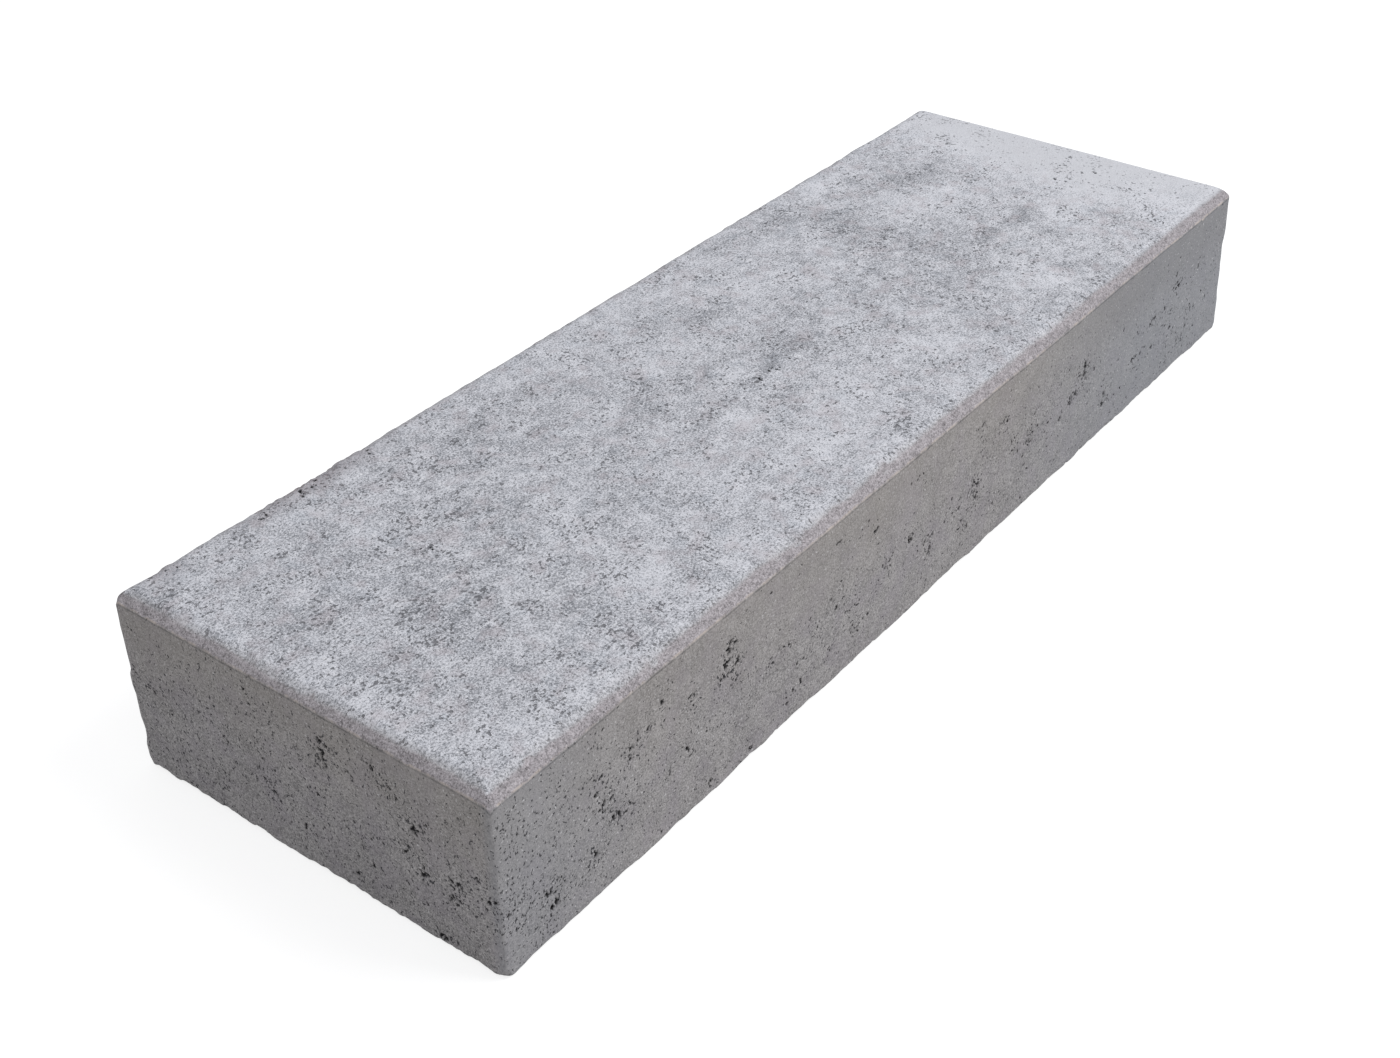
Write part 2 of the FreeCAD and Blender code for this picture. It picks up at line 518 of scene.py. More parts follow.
    def shape(self, places: np.ndarray) -> tuple[np.ndarray, np.ndarray, np.ndarray, np.ndarray]:
        """Pull points of the sharp box onto the worn block.

        The block's depth at a point is the softened largest of its distances past each cut: softness
        times the logarithm of the sum of e to the power of distance over softness. Points step along
        that field's slope until the depth is nothing.

        Args:
            places: points on the sharp box.

        Returns:
            The points on the block, the outward direction there, each cut's share in it, and how far
            each point is on the bevel's side of the line where the bevel leaves the wall.
        """
        ways, reach, kinds = self.planes()
        taken = self.wear(places, kinds)
        moved = places.copy()
        for _ in range(6):  # steps; by then the depth is nothing
            past = moved @ ways.T - reach + taken
            most = past.max(axis=1, keepdims=True)
            grown = np.exp((past - most) / self.softness)
            depth = most[:, 0] + self.softness * np.log(grown.sum(axis=1))
            share = grown / grown.sum(axis=1, keepdims=True)
            slope = share @ ways
            moved -= (depth / (slope**2).sum(axis=1))[:, None] * slope
        past = moved @ ways.T - reach + taken
        beyond_line = past[:, kinds == 1].max(axis=1) - past[:, kinds == 0].max(axis=1)
        return moved, slope / np.linalg.norm(slope, axis=1, keepdims=True), share, beyond_line

    def scatter(self) -> Pits:
        """Place all air holes: the groups that stand out, and a sprinkling over every upright wall."""
        rng = np.random.default_rng(self.seed)
        corners = {}
        for wall in Wall:
            axes = wall.axes
            reach = np.abs(axes @ self.half)
            corners[wall] = self.middle - reach[0] * axes[0] - reach[1] * axes[1] + reach[2] * axes[2]
        groups = {
            Wall.FRONT: RISER_HOLES + self.sprinkle(rng, 1000, 90),
            Wall.LEFT_END: END_HOLES + self.sprinkle(rng, 330, 50),
            Wall.BACK: self.gather(rng, 1000, 28) + self.sprinkle(rng, 1000, 30),
            Wall.RIGHT_END: self.gather(rng, 330, 10) + self.sprinkle(rng, 330, 12),
            Wall.TREAD: TREAD_HOLES,
        }
        return Pits.join([Pits.sink(wall, holes, corners[wall], rng) for wall, holes in groups.items()])

    def sprinkle(self, rng: np.random.Generator, width: float, count: int) -> tuple[Holes, ...]:
        """Single small holes anywhere on an upright wall of this width in millimetres."""
        rise = (self.high - self.low)[2] / MM
        ranges = ((8, width - 8), (6, rise - 16), (0.8, 1.4))
        spots = zip(*(rng.uniform(*span, count) for span in ranges))
        return tuple(Holes(along, up, radius=radius) for along, up, radius in spots)

    def gather(self, rng: np.random.Generator, width: float, count: int) -> tuple[Holes, ...]:
        """Groups of larger holes, taller than wide, on an upright wall that has none of its own."""
        rise = (self.high - self.low)[2] / MM
        return tuple(
            Holes(rng.uniform(14, width - 14), rng.uniform(12, rise - 26), int(rng.integers(2, 8)),
                  (rng.uniform(2, 6), rng.uniform(3, 9)), rng.uniform(1.4, 2.3))
            for _ in range(count)
        )

    def refine(self, lattice: Lattice, pits: Pits) -> None:
        """Halve the lattice until it follows the edges and the air holes.

        Args:
            lattice: the box of coarse cells.
            pits: the air holes.
        """
        seen_band, line_band, bed_band = 20 * MM, 2.5 * MM, 5 * MM
        from_edge, from_rim = 0.9, 1.6  # how fast triangles grow away from an edge, and from a hole's rim
        bevel_line = self.high[2] - self.bevel_low[0]
        for _ in range(14):  # rounds; it stops by itself well before
            centres, spans = lattice.centres(), lattice.spans()
            inset = np.sort(np.minimum(centres - self.low, self.high - centres), axis=1)[:, 1]
            seen = (centres[:, :2] < self.low[:2] + seen_band).any(axis=1)
            edge_span = np.where(seen, self.edge_span, self.unseen * self.edge_span)
            target = edge_span + from_edge * (inset - self.edge_band).clip(0)
            upright = lattice.walls < 4
            fine = upright & (np.abs(centres[:, 2] - bevel_line) < line_band)
            fine |= centres[:, 2] + np.where(upright, 0, inset) < bed_band
            target[fine & seen] = self.line_span
            target[self.crumbled(centres) > 0.25] = self.line_span
            finder = Finder(centres)
            for index, (centre, radius, stretch) in enumerate(zip(pits.centre, pits.radius, pits.stretch)):
                chosen = finder.near(centre, pits.rim(index) + self.fringe)
                away = np.linalg.norm(centres[chosen] - centre, axis=1)
                rim = (away - radius * stretch).clip(0)
                wall_span = max(0.75 * radius, self.finest)
                target[chosen] = np.minimum(target[chosen], wall_span + from_rim * rim)
            wanted = spans > target
            if not wanted.any():
                break
            lattice.halve(wanted)

    def hollow(self, places: np.ndarray, skin: np.ndarray, pits: Pits) -> tuple[np.ndarray, np.ndarray]:
        """Sink the air holes into the skin.

        A hole is a bowl with a steep wall: its depth times the square root of one less the square of
        the distance from its centre, in radii, with a rim made ragged by noise. Where holes meet, the
        deeper one counts.

        Args:
            places: the points on the sharp box.
            skin: the same points on the worn block.
            pits: the air holes.

        Returns:
            The points with the holes sunk, and how deep in a hole each is, from 0 to 1, which sets the
            dust and painted shade that darken the holes.
        """
        ragged = 0.55 * layered_noise(places, (2.2 * MM, 1.1 * MM), self.seed + 40)
        dark_from = 0.45  # of the way up the bowl, in squared radii
        sunk = np.zeros(len(places))
        inward = np.zeros_like(places)
        shade = np.zeros(len(places))
        finder = Finder(places)
        for index in range(len(pits.radius)):
            chosen = finder.near(pits.centre[index], pits.rim(index))
            offset = places[chosen] - pits.centre[index]
            along, up, out = pits.axes[index]
            width = pits.radius[index]
            across = np.hypot(offset @ along / width, offset @ up / (width * pits.stretch[index]))
            level = (1 - (across * (1 + ragged[chosen])) ** 2).clip(0)
            depth = pits.depth[index] * np.sqrt(level)
            deeper = (depth > sunk[chosen]) & (np.abs(offset @ out) < MM)
            sunk[chosen[deeper]] = depth[deeper]
            inward[chosen[deeper]] = -out
            # dust and painted shade, darkest deep in the bowl
            shade[chosen] = np.maximum(shade[chosen], smooth_step(0.0, dark_from, level))
        return skin + sunk[:, None] * inward, shade

    def lean_right_end(self, skin: np.ndarray) -> np.ndarray:
        """Set the right end's top back: the block was not cast quite square there."""
        steepness = 10  # keeps the lean close to the end
        share = (skin[:, 0] / self.high[0]).clip(0) ** steepness
        rise = (skin[:, 2] - self.low[2]) / (self.high[2] - self.low[2])
        leaned = skin.copy()
        leaned[:, 0] -= self.lean * share * rise
        return leaned

    def unfold(self, lattice: Lattice) -> np.ndarray:
        """Lay the six walls flat beside each other, at one scale but for the bed, for baked colours.

        Args:
            lattice: the box of cells, whose places are still on the sharp box.

        Returns:
            A place on the unit square for each corner of each triangle.
        """
        gap, fit = 0.004, 0.985  # between the walls, and the room that is left for the gaps
        length, depth, height = self.high - self.low
        scale = (1 - 2 * gap) / length
        rows = {
            Wall.TREAD: (0.0, 0.0, 1.0),
            Wall.FRONT: (0.0, depth, 1.0),
            Wall.BACK: (0.0, depth + height, 1.0),
            Wall.LEFT_END: (0.0, depth + 2 * height, 1.0),
            Wall.RIGHT_END: (depth, depth + 2 * height, 1.0),
            Wall.BED: (0.0, depth + 3 * height, 0.6),
        }
        flat = np.zeros((len(lattice.triangles), 3, 2))
        for number, wall in enumerate(Wall):
            mine = lattice.walls == number
            axes = wall.axes
            right, below, shrink = rows[wall]
            line = list(rows).index(wall)
            offset = lattice.places[lattice.triangles[mine]] - self.middle
            for way, start in enumerate((right, below)):
                span = offset @ axes[way] + np.abs(axes[way]) @ self.half
                shift = gap * (1 + (line if way else (wall is Wall.RIGHT_END)))
                flat[mine, :, way] = (start + shrink * span) * scale * fit + shift
        return flat

    def build(self) -> bpy.types.Object:
        """Make the block's mesh, with the masks its finish reads.

        Returns:
            The finished object, linked to the scene.
        """
        lattice = Lattice(self.low, self.high, self.cell)
        pits = self.scatter()
        self.refine(lattice, pits)
        skin, out, share, beyond_line = self.shape(lattice.places)
        kinds = self.planes()[2]
        skin, shade = self.hollow(lattice.places, skin, pits)
        skin = self.lean_right_end(skin)
        log.info("%d air holes, %d triangles", len(pits.radius), len(lattice.triangles))

        mesh = bpy.data.meshes.new(NODE + "_cast")
        mesh.from_pydata(skin.tolist(), [], lattice.triangles.tolist())
        mesh.uv_layers.new(name="OFBake").uv.foreach_set("vector", self.unfold(lattice).ravel())
        mesh.shade_smooth()
        part = {kind: share[:, kinds == kind].sum(axis=1) for kind in range(6)}
        masks = {
            # dust and painted shade inside the air holes
            "hole_dust_and_shade": shade,
            "tread": smooth_step(0.62, 0.97, out[:, 2]),
            "below_tread": 1 - smooth_step(0.2, 0.8, part[2] + part[5]),
            "beyond_line": beyond_line / MM,
            "arris": (part[3] + part[4]).clip(0, 1),
            "cloud": self.clouds(lattice.places),
            "pitted": self.pitting(lattice.places, pits),
            "crumbled": self.crumbled(lattice.places),
        }
        for name, values in masks.items():
            mesh.attributes.new(name, "FLOAT", "POINT").data.foreach_set("value", values.astype(np.float32))
        return add_object("cast_block", mesh)

    def pitting(self, places: np.ndarray, pits: Pits) -> np.ndarray:
        """How open the walls' skin is, from 0 where it is closed to 1 where fine holes crowd.

        It is highest round the larger air holes, low on the wall and near the left end, and lowest just
        below the bevels, where the mould was vibrated most.

        Args:
            places: points on the sharp box.
            pits: the air holes.

        Returns:
            A number per point.
        """
        finder = Finder(places)
        crowd = np.zeros(len(places))
        reach, fade = 24 * MM, 9 * MM
        for centre, radius in zip(pits.centre, pits.radius):
            chosen = finder.near(centre, reach)
            away = np.linalg.norm(places[chosen] - centre, axis=1)
            crowd[chosen] += (radius / MM) * np.exp(-((away / fade) ** 2))
        height = (places[:, 2] - self.low[2]) / (self.high[2] - self.low[2])
        closed = smooth_step(0.62, 0.95, height + 0.14 * noise(places, 70 * MM, self.seed + 80))
        along, _ = self.along_and_across(places)
        near_end, on_end = smooth_step(280, -100, along), smooth_step(4, 0, along)
        base = 0.46 + 0.22 * layered_noise(places, (55 * MM, 20 * MM), self.seed + 81)
        base += 0.30 * near_end - 0.09 * on_end
        return (base - 0.26 * closed + 0.11 * crowd).clip(0, 1)

    def clouds(self, places: np.ndarray) -> np.ndarray:
        """Broad light and dark patches where the tread dried unevenly, about 0.5.

        The pale right end is partly a smoother finish and partly painted light.

        Args:
            places: points on the sharp box.

        Returns:
            A number per point: 0 darkest, 1 palest.
        """
        along, across = self.along_and_across(places)
        patches = (  # millimetres along, across, half length, half width, strength
            # the first patch, the pale right end, is partly a smoother finish and partly painted light
            (988, 170, 92, 230, 0.34), (880, 120, 50, 50, 0.10), (715, 262, 26, 56, -0.13),
            (850, 250, 52, 18, -0.16), (800, 290, 22, 14, -0.06), (812, 132, 42, 13, -0.34),
            (720, 170, 26, 60, -0.09), (675, 105, 30, 24, -0.14), (640, 42, 34, 16, -0.14),
            (475, 148, 34, 7, -0.34), (518, 240, 24, 18, -0.17), (525, 155, 26, 30, -0.10),
            (395, 185, 44, 12, -0.13), (372, 142, 30, 10, -0.12), (265, 262, 34, 14, -0.14),
            (312, 226, 20, 12, -0.12), (205, 208, 16, 13, -0.20), (120, 222, 20, 12, -0.12),
            (58, 205, 14, 22, -0.10), (125, 160, 16, 26, -0.05), (115, 130, 24, 16, -0.04),
            (128, 40, 14, 22, -0.14), (165, 52, 10, 26, -0.14), (262, 55, 14, 20, -0.08),
            (90, 170, 150, 120, -0.07), (210, 66, 14, 20, 0.12), (430, 66, 60, 26, 0.12),
            (566, 70, 46, 22, 0.08), (585, 225, 40, 30, 0.10), (800, 205, 50, 20, 0.12),
            (760, 300, 40, 22, 0.14), (735, 50, 24, 26, 0.12), (410, 118, 18, 10, 0.12),
            (24, 150, 14, 40, 0.05), (865, 66, 12, 12, -0.14), (640, 250, 18, 16, -0.10),
        )
        wander = 12 * noise(places, 30 * MM, self.seed + 50)
        drift = 12 * noise(places, 30 * MM, self.seed + 51)
        total = np.full(len(places), 0.5)
        for middle_along, middle_across, half_length, half_width, strength in patches:
            x = (along + wander - middle_along) / half_length
            y = (across + drift - middle_across) / half_width
            total += strength * np.exp(-(x * x + y * y))
        return total


# ---- finish


def add_node(
    tree: bpy.types.NodeTree,
    kind: str,
    inputs: dict | tuple = (),
    output: int | str = 0,
    **settings: object,
) -> bpy.types.NodeSocket:
    """Add a node to a tree, set it up and link it.

    Args:
        tree: the node tree.
        kind: Blender's name for the kind of node.
        inputs: plain values, or the sockets that feed the node, in order or by the input's identifier.
        output: the output to give back, by its number or its identifier.
        **settings: the node's own properties.

    Returns:
        One of the node's outputs, or the node's first input where it has none.
    """
    node = tree.nodes.new(kind)
    for name, value in settings.items():
        setattr(node, name, value)
    named = {socket.identifier: socket for socket in node.inputs}
    pairs = inputs.items() if isinstance(inputs, dict) else enumerate(inputs)
    for name, value in pairs:
        socket = node.inputs[name] if isinstance(name, int) else named[name]
        if isinstance(value, bpy.types.NodeSocket):
            tree.links.new(value, socket)
        else:
            socket.default_value = value
    if not node.outputs:
        return node.inputs[0]
    if isinstance(output, int):
        return node.outputs[output]
    return {socket.identifier: socket for socket in node.outputs}[output]


def fresh_nodes(owner: bpy.types.Material | bpy.types.World) -> Callable:
    """Empty the node tree of a material or world, and give back what adds a node to it."""
    owner.use_nodes = True
    owner.node_tree.nodes.clear()
    return partial(add_node, owner.node_tree)


@dataclass(frozen=True)
class CastConcrete:
    """Grey Portland cement concrete, vibrated into a steel mould and left as struck.

    The tread was struck off, so it is open and sandy: it scatters light and shows every grain, torn
    spots whose small pits are darkened with painted shade, and paler sand. The walls set against steel,
    which gives a tighter, darker cement skin with pinholes, drawn as bumps darkened with painted shade.
    The bevels are worn and keep a thin film of pinkish laitance.
    """

    tread_dark: str = "7c7e84"
    tread_pale: str = "dcdde3"
    # painted shade in the tread's small torn pits
    torn_pit_shade: str = "66666b"
    tread_blue: str = "a6b0bb"
    tread_pink: str = "b3a9ad"
    # pale right end: partly a smoother finish, partly painted light
    tread_smooth_and_lit: str = "cfd0d5"
    tread_crumbled: str = "8d8488"
    wall_dark: str = "7b797a"
    wall_pale: str = "bfbcbc"
    wall_warm: str = "a29c95"
    wall_cool: str = "979ca4"
    wall_corner: str = "999ba1"
    # painted shade: in the pinholes, which are only bumps, and with dirt in the line under the bevel
    painted_shade: str = "46464a"
    wall_violet: str = "9d979f"
    film_dark: str = "767174"
    film_pale: str = "c3bdc1"
    # painted highlight along the bevel's lower line
    bevel_line: str = "c9bdb3"
    arris_pale: str = "c6c4c4"
    # dust and painted shade inside the air holes
    hole: str = "19181b"
    # pale lumps, strike-off lines and sand grains; the small grains are partly painted glints
    white_grain_and_glint: str = "f4f4f6"
    roughness: float = 0.95
    sand_mm: float = 1.7  # real sand is finer: drawn as coarse as it needs to be to show
    fine_sand_mm: float = 0.95

    def build(self) -> bpy.types.Material:
        """Make the material.

        Returns:
            The material, named for what it is.
        """
        material = bpy.data.materials.new("cast_portland_concrete")
        node = fresh_nodes(material)
        place = node("ShaderNodeTexCoord", output="Object")
        names = ("hole_dust_and_shade", "tread", "below_tread", "beyond_line", "arris", "cloud", "pitted", "crumbled")
        mask = {name: node("ShaderNodeAttribute", output="Fac", attribute_name=name) for name in names}
        mask |= {axis: node("ShaderNodeSeparateXYZ", (place,), axis) for axis in "XYZ"}
        # Millimetres across a patch, octaves and roughness. Air rises, so pinholes are drawn out upwards,
        # and the strike-off bar left lines along the block.
        patterns = {
            "blotch": (34, 4, 0.6), "patch": (9, 3, 0.65), "sand": (self.sand_mm, 2, 0.7),
            "fine": (self.fine_sand_mm, 1, 0.5), "torn": (3.0, 2, 0.6), "crowd": (24, 2, 0.6),
            "hue": (19, 2, 0.5), "other_hue": (16, 2, 0.5), "holes": (2.1, 2, 0.7), "drift": (55, 2, 0.5),
            "pale": (1.9, 1, 0.5), "drag": (2.6, 1, 0.5),
        }
        grain = {}
        for number, (name, (size, octaves, roughness)) in enumerate(patterns.items()):
            stretch = {"holes": (1.0, 1.0, 0.75), "drag": (0.04, 1.0, 1.0)}.get(name, (1.0, 1.0, 1.0))
            moved = node("ShaderNodeMapping", {
                "Vector": place, "Location": (3.1 * number, 1.7 * number, 0), "Scale": stretch,
            })
            grain[name] = node("ShaderNodeTexNoise", {
                "Vector": moved, "Scale": 1 / (size * MM), "Detail": octaves, "Roughness": roughness,
            })

        tread, torn = self.tread(node, grain, mask)
        wall, pinholes = self.wall(node, grain, mask)
        colour = node("ShaderNodeMix", {
            "Factor_Float": mask["tread"], "A_Color": wall, "B_Color": tread,
        }, "Result_Color", data_type="RGBA")
        colour = self.edges(node, grain, mask, colour)
        # dust and painted shade darken the air holes almost to black
        colour = node("ShaderNodeMix", {
            "Factor_Float": mask["hole_dust_and_shade"], "A_Color": colour, "B_Color": linear(self.hole),
        }, "Result_Color", data_type="RGBA")

        grit = self.weigh(node, grain, 0.7, 0.35, 0.5)
        openness = node("ShaderNodeMapRange", (mask["tread"], 0.0, 1.0, 0.4, 1.0))
        relief = node("ShaderNodeMath", (grit, openness), operation="MULTIPLY")
        sunk = node("ShaderNodeMix", {
            "Factor_Float": mask["tread"], "A_Float": pinholes, "B_Float": torn,
        }, "Result_Float")
        relief = node("ShaderNodeMath", (sunk, -0.8, relief), operation="MULTIPLY_ADD")
        bump = node("ShaderNodeBump", {"Strength": 1.0, "Distance": 0.8 * MM, "Height": relief})
        shader = node("ShaderNodeBsdfPrincipled", {
            "Base Color": colour, "Roughness": self.roughness, "Normal": bump,
        })
        node("ShaderNodeOutputMaterial", {"Surface": shader})
        return material

    def weigh(self, node: Callable, grain: dict, *weights: float) -> bpy.types.NodeSocket:
        """Add up the sand, the fine sand and the patches, each times its weight."""
        sands = node("ShaderNodeCombineXYZ", (grain["sand"], grain["fine"], grain["patch"]))
        return node("ShaderNodeVectorMath", (sands, weights), "Value", operation="DOT_PRODUCT")

    def tread(self, node: Callable, grain: dict, mask: dict) -> tuple:
        """Open, sandy top: pale and dark sand, torn spots in crowds, faint blue and pink patches.

        The torn spots are small pits, darkened with painted shade. The pale strip at the right end is
        partly a finish smoothed shut with a trowel and partly painted light, and the strike-off left faint
        lines near the left end.

        Args:
            node: adds a node.
            grain: the noise patterns.
            mask: the mesh's masks and the place on the block.

        Returns:
            The colour, and how torn the surface is.
        """
        tone = self.weigh(node, grain, 1.9, 1.1, 0.85)
        tone = node("ShaderNodeMath", (grain["blotch"], 0.6, tone), operation="MULTIPLY_ADD")
        tone = node("ShaderNodeMath", (tone, mask["cloud"]))
        share = node("ShaderNodeMapRange", (tone, 2.17, 3.12, 0.0, 1.0), interpolation_type="SMOOTHSTEP")
        blue = node("ShaderNodeMapRange", (grain["hue"], 0.54, 0.70, 0.0, 0.13))
        pink = node("ShaderNodeMapRange", (grain["other_hue"], 0.54, 0.70, 0.0, 0.32))
        # the pale right end: partly a smoother finish, partly painted light
        smooth_and_lit = node("ShaderNodeMapRange", (mask["cloud"], 0.64, 0.77, 0.0, 0.85))

        crowd = node("ShaderNodeMapRange", (grain["crowd"], 0.38, 0.66, -0.06, 0.085))
        crowd = node("ShaderNodeMath", (mask["crumbled"], 0.06, crowd), operation="MULTIPLY_ADD")
        in_cloud = node("ShaderNodeMapRange", (mask["cloud"], 0.2, 0.5, 0.05, 0.0))
        crowd = node("ShaderNodeMath", (in_cloud, crowd))
        likely = node("ShaderNodeMath", (grain["torn"], crowd))
        torn = node("ShaderNodeMapRange", (likely, 0.645, 0.70, 0.0, 1.0), interpolation_type="SMOOTHSTEP")
        rough = node("ShaderNodeMapRange", (mask["cloud"], 0.66, 0.86, 0.85, 0.2))
        # torn spots: small pits drawn as bumps and darkened with painted shade
        spots = node("ShaderNodeMath", (torn, rough), operation="MULTIPLY")

        lumps = node("ShaderNodeMapRange", (grain["patch"], 0.66, 0.76, 0.0, 0.35))
        dragged = node("ShaderNodeMapRange", (mask["X"], -300 * MM, -100 * MM, 0.35, 0.0))
        lines = node("ShaderNodeMapRange", (grain["drag"], 0.71, 0.79, 0.0, 1.0))
        lines = node("ShaderNodeMath", (lines, dragged), operation="MULTIPLY")
        # pale sand grains, partly painted glints
        grains_and_glints = node("ShaderNodeMapRange", (grain["pale"], 0.68, 0.78, 0.0, 0.6))

        colour = linear(self.tread_dark)
        for amount, tint in (
            (share, self.tread_pale), (blue, self.tread_blue), (pink, self.tread_pink),
            (smooth_and_lit, self.tread_smooth_and_lit), (spots, self.torn_pit_shade),
            (lumps, self.white_grain_and_glint), (lines, self.white_grain_and_glint), (grains_and_glints, self.white_grain_and_glint),
        ):
            colour = node("ShaderNodeMix", {
                "Factor_Float": amount, "A_Color": colour, "B_Color": linear(tint),
            }, "Result_Color", data_type="RGBA")
        return colour, torn

    def wall(self, node: Callable, grain: dict, mask: dict) -> tuple:
        """Cement skin struck from steel: fine grain, pinholes, warmer and tighter near the top.

        The riser is cooler toward its far end and at its near corner, and its far end is darker above.
        The pinholes are bumps darkened with painted shade.

        Args:
            node: adds a node.
            grain: the noise patterns.
            mask: the mesh's masks and the place on the block.

        Returns:
            The colour, and how deep in a pinhole the surface is.
        """
        tone = self.weigh(node, grain, 1.35, 1.15, 0.45)
        tone = node("ShaderNodeMath", (grain["blotch"], 0.35, tone), operation="MULTIPLY_ADD")
        share = node("ShaderNodeMapRange", (tone, 1.225, 2.075, 0.0, 1.0), interpolation_type="SMOOTHSTEP")
        violet = node("ShaderNodeMapRange", (grain["crowd"], 0.45, 0.65, 0.0, 0.35))
        raised = node("ShaderNodeMath", (grain["drift"], 90 * MM, mask["Z"]), operation="MULTIPLY_ADD")
        warm = node("ShaderNodeMapRange", (raised, 110 * MM, 185 * MM, 0.0, 0.38))
        cool = node("ShaderNodeMapRange", (mask["X"], 80 * MM, 330 * MM, 0.0, 0.55))
        on_riser = node("ShaderNodeMapRange", (mask["Y"], -155 * MM, -162 * MM, 0.0, 1.0))
        at_corner = node("ShaderNodeMapRange", (mask["X"], -360 * MM, -470 * MM, 0.0, 0.45))
        at_corner = node("ShaderNodeMath", (at_corner, on_riser), operation="MULTIPLY")
        # darker toward the top of the riser's far end
        far = node("ShaderNodeMapRange", (mask["X"], 180 * MM, 270 * MM, 0.0, 0.24))
        above = node("ShaderNodeMapRange", (mask["Z"], 85 * MM, 112 * MM, 0.0, 1.0))
        darker_far_top = node("ShaderNodeMath", (above, far), operation="MULTIPLY")
        # pale sand grains, partly painted glints
        pale = node("ShaderNodeMapRange", (grain["pale"], 0.66, 0.76, 0.0, 0.45))
        crowd = node("ShaderNodeMapRange", (mask["pitted"], 0.0, 1.0, -0.06, 0.07))
        likely = node("ShaderNodeMath", (grain["holes"], crowd))
        # pinholes: bumps darkened with painted shade
        pinholes = node(
            "ShaderNodeMapRange", (likely, 0.635, 0.71, 0.0, 1.0), interpolation_type="SMOOTHSTEP",
        )

        colour = linear(self.wall_dark)
        for amount, tint in (
            (share, self.wall_pale), (violet, self.wall_violet), (warm, self.wall_warm),
            (cool, self.wall_cool), (at_corner, self.wall_corner), (darker_far_top, self.wall_dark),
            (pale, self.white_grain_and_glint), (pinholes, self.painted_shade),
        ):
            colour = node("ShaderNodeMix", {
                "Factor_Float": amount, "A_Color": colour, "B_Color": linear(tint),
            }, "Result_Color", data_type="RGBA")
        return colour, pinholes

    def edges(
        self, node: Callable, grain: dict, mask: dict, colour: bpy.types.NodeSocket,
    ) -> bpy.types.NodeSocket:
        """Lay the bevels' film, the lines under it, the worn arrises and the crumbled edge over the colour.

        Where the bevel leaves the wall there is a fine painted highlight, with a thin line of painted shade
        and dirt just below it.

        Args:
            node: adds a node.
            grain: the noise patterns.
            mask: the mesh's masks and the place on the block.
            colour: the colour so far.

        Returns:
            The colour with the edges on it.
        """
        tone = self.weigh(node, grain, 1.0, 0.7, 0.5)
        share = node("ShaderNodeMapRange", (tone, 0.85, 1.35, 0.0, 1.0))
        film = node("ShaderNodeMix", {
            "Factor_Float": share, "A_Color": linear(self.film_dark), "B_Color": linear(self.film_pale),
        }, "Result_Color", data_type="RGBA")
        side = node("ShaderNodeMapRange", (mask["beyond_line"], -0.1, 0.3, 0.0, 1.0))
        mask = {**mask, "bevel": node("ShaderNodeMath", (side, mask["below_tread"]), operation="MULTIPLY")}
        # Millimetres past the line to the middle of each, its half width, and where it has faded out.
        for name, middle, width, faded in (("bevel_line", 0.2, 0.35, 0.8), ("bevel_shade_and_dirt", -0.9, 0.2, 0.8)):
            away = node("ShaderNodeMath", (mask["beyond_line"], middle), operation="SUBTRACT")
            away = node("ShaderNodeMath", (away,), operation="ABSOLUTE")
            mask[name] = node("ShaderNodeMapRange", (away, width, faded, 1.0, 0.0))
        for name, pattern, span, tint in (
            ("bevel", "patch", (0.25, 0.45, 0.6, 0.95), film),
            # a thin line of painted shade and dirt just below the bevel's lower edge
            ("bevel_shade_and_dirt", "patch", (0.35, 0.65, 0.55, 0.15), linear(self.painted_shade)),
            # the fine pale line along the bevel's lower edge is a painted highlight
            ("bevel_line", "patch", (0.42, 0.64, 0.0, 0.62), linear(self.bevel_line)),
            ("arris", "patch", (0.40, 0.65, 0.0, 0.45), linear(self.arris_pale)),
            ("crumbled", "sand", (0.38, 0.62, 0.15, 0.85), linear(self.tread_crumbled)),
        ):
            amount = node("ShaderNodeMapRange", (grain[pattern], *span))
            amount = node("ShaderNodeMath", (amount, mask[name]), operation="MULTIPLY")
            colour = node("ShaderNodeMix", {
                "Factor_Float": amount, "A_Color": colour, "B_Color": tint,
            }, "Result_Color", data_type="RGBA")
        return colour


# ---- studio


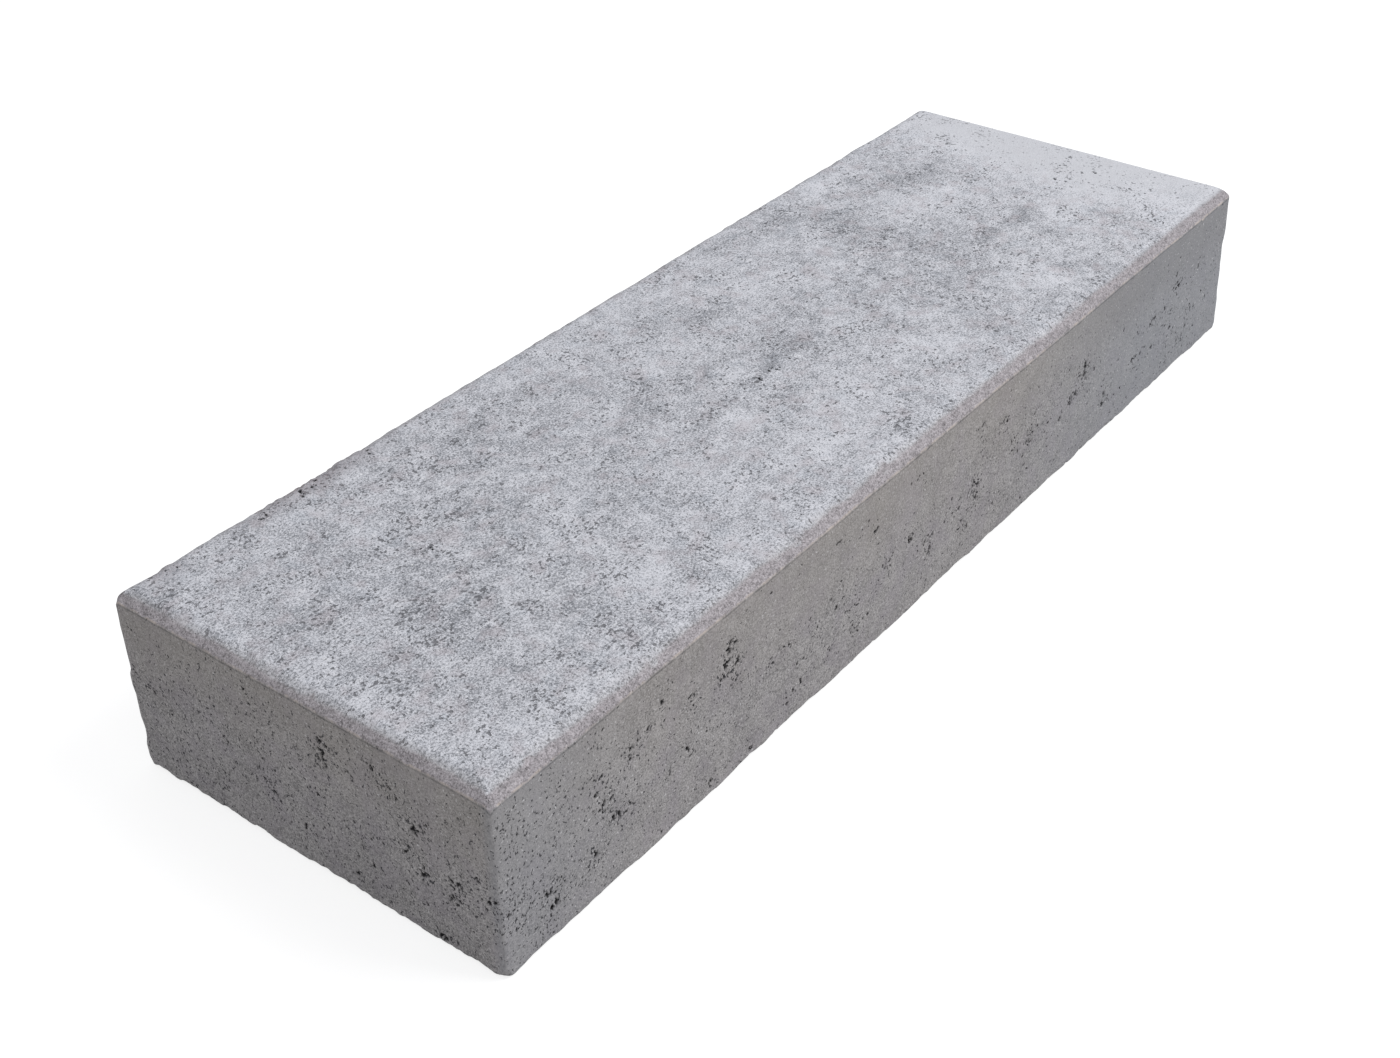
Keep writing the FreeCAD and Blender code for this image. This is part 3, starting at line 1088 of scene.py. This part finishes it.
@dataclass
class Studio:
    """Pale floor, soft lamps and the camera."""

    azimuth: float = -52.51  # degrees, 0 looking along +Y
    elevation: float = 34.92
    roll: float = 0.81
    foot: tuple[float, float, float] = (0.0545, -0.0149, 1.5218)  # block's foot, right, down and away
    lens_mm: float = 47.93
    sensor_mm: float = 36.0
    floor_size: float = 40.0
    floor_lit: str = "bab8b6"  # what the block's light and shade see of it
    floor_shade: str = "a8a8a8"  # with the glow, white to the camera where no shadow falls
    floor_glow: float = 0.77
    sky: float = 0.62
    sky_tint: str = "fbfcff"
    key_place: tuple[float, float, float] = (2.3, -3.4, 4.8)
    key_size: float = 3.0
    key_watts: float = 190.0

    def camera(self) -> None:
        """Point the camera: its turn from azimuth, elevation and roll, its place from the block's foot."""
        turn, tilt, roll = (math.radians(a) for a in (self.azimuth, self.elevation, self.roll))
        back = np.array([math.sin(turn) * math.cos(tilt), -math.cos(turn) * math.cos(tilt), math.sin(tilt)])
        right = np.cross(-back, (0, 0, 1))
        right /= np.linalg.norm(right)
        down = np.cross(-back, right)
        rolled_right = math.cos(roll) * right + math.sin(roll) * down
        rolled_down = math.cos(roll) * down - math.sin(roll) * right
        place = -(self.foot[0] * rolled_right + self.foot[1] * rolled_down - self.foot[2] * back)
        lens = bpy.data.cameras.new("camera")
        lens.sensor_width = self.sensor_mm
        lens.lens = self.lens_mm
        lens.clip_end = 200
        body = add_object("camera", lens)
        columns = np.stack([rolled_right, -rolled_down, back, place], axis=1)
        body.matrix_world = Matrix([*columns.tolist(), [0, 0, 0, 1]])
        bpy.context.scene.camera = body

    def lamp(self, name: str, place: tuple[float, float, float], size: float, watts: float) -> None:
        """Hang a square soft lamp that faces the block."""
        light = bpy.data.lights.new(name, "AREA")
        light.size = size
        light.energy = watts
        body = add_object(name, light)
        body.location = place
        body.rotation_euler = (-Vector(place)).to_track_quat("-Z", "Y").to_euler()

    def world(self) -> None:
        """Even sky light, seen as white by the camera."""
        world = bpy.data.worlds.new("studio")
        bpy.context.scene.world = world
        node = fresh_nodes(world)
        seen = node("ShaderNodeLightPath", output="Is Camera Ray")
        sky = node("ShaderNodeBackground", {"Color": linear(self.sky_tint), "Strength": self.sky})
        white = node("ShaderNodeBackground", {"Color": linear("ffffff"), "Strength": 1.0})
        node("ShaderNodeOutputWorld", {"Surface": node("ShaderNodeMixShader", (seen, sky, white))})

    def floor(self) -> None:
        """Pale floor that takes the block's shadow and is white to the camera where it is lit."""
        half = self.floor_size / 2
        mesh = bpy.data.meshes.new("floor")
        corners = [(-half, -half, 0), (half, -half, 0), (half, half, 0), (-half, half, 0)]
        mesh.from_pydata(corners, [], [(0, 1, 2, 3)])
        material = bpy.data.materials.new("white_studio_floor")
        node = fresh_nodes(material)
        seen = node("ShaderNodeLightPath", output="Is Camera Ray")
        matt = node("ShaderNodeBsdfDiffuse", {"Color": linear(self.floor_lit)})
        shaded = node("ShaderNodeBsdfDiffuse", {"Color": linear(self.floor_shade)})
        glow = node("ShaderNodeEmission", {"Color": linear("ffffff"), "Strength": self.floor_glow})
        both = node("ShaderNodeAddShader", (shaded, glow))
        node("ShaderNodeOutputMaterial", {"Surface": node("ShaderNodeMixShader", (seen, matt, both))})
        mesh.materials.append(material)
        add_object("floor", mesh)

    def build(self) -> None:
        """Set everything up."""
        bpy.context.scene.view_settings.view_transform = "Standard"
        self.world()
        self.floor()
        self.lamp("key", self.key_place, self.key_size, self.key_watts)
        self.camera()


def main() -> None:
    """Build the block and the studio round it."""
    logging.basicConfig(level=logging.INFO, format="%(message)s")
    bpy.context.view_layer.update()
    low, high = (np.array(corner, float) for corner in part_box(NODE))
    block = CastBlock(low, high).build()
    block.data.materials.append(CastConcrete().build())
    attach(block, "root")
    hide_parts(NODE)
    log.info("cast_block: %d vertices", len(block.data.vertices))
    Studio().build()


if __name__ == "__main__":
    main()
